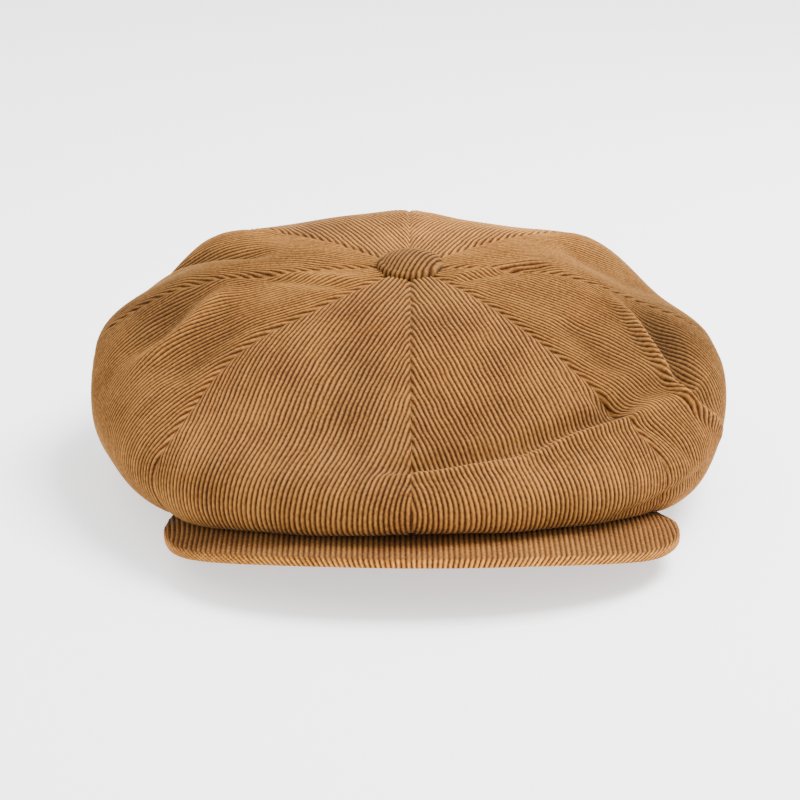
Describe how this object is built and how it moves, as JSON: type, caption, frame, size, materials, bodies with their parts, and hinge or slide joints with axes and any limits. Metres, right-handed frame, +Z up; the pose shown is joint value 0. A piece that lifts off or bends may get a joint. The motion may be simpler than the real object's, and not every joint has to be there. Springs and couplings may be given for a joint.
{
  "type": "newsboy cap",
  "caption": "Full soft newsboy cap in brown corduroy: panelled crown with a covered button, satin lining, sweatband and a stiffened, curved visor that flexes on its seam.",
  "frame": {"origin": "under the middle of the head opening, on the surface that the cap rests on", "axes": "+Z up through the crown's button; -Y is the front, where the visor points; +X is the wearer's left"},
  "size_m": [0.2692, 0.2859, 0.0963],
  "materials": {
    "corduroy": "ribbed cotton corduroy, tan brown, matt with a soft nap",
    "lining_satin": "dark brown satin, smooth, soft sheen",
    "sweatband_cotton": "dark brown grosgrain cotton, matt",
    "visor_board": "off-white flexible board",
    "button_metal": "plain stamped",
    "tab_ribbon": "plain woven ribbon, blank"
  },
  "bodies": {
    "cap": {"crown_panel_front_left": "corduroy", "crown_panel_front_right": "corduroy", "crown_panel_side_front_left": "corduroy", "crown_panel_side_front_right": "corduroy", "crown_panel_side_rear_left": "corduroy", "crown_panel_side_rear_right": "corduroy", "crown_panel_rear_left": "corduroy", "crown_panel_rear_right": "corduroy", "lining_panel_front_left": "lining_satin", "lining_panel_front_right": "lining_satin", "lining_panel_side_front_left": "lining_satin", "lining_panel_side_front_right": "lining_satin", "lining_panel_side_rear_left": "lining_satin", "lining_panel_side_rear_right": "lining_satin", "lining_panel_rear_left": "lining_satin", "lining_panel_rear_right": "lining_satin", "button_cover": "corduroy", "button_shell": "button_metal", "button_back_plate": "button_metal", "button_prongs": "button_metal", "sweatband": "sweatband_cotton", "size_tab": "tab_ribbon"},
    "visor": {"visor_board": "visor_board", "visor_top_cover": "corduroy", "visor_under_cover": "corduroy"}
  },
  "joints": [
    {"name": "visor_flex", "type": "hinge", "parent": "cap", "child": "visor", "pos_m": [0, -0.047, 0.007], "axis": [1, 0, 0], "range_deg": [0, 7], "stiffness_Nm_per_rad": 0.5, "springref_deg": -4.01}
  ]
}
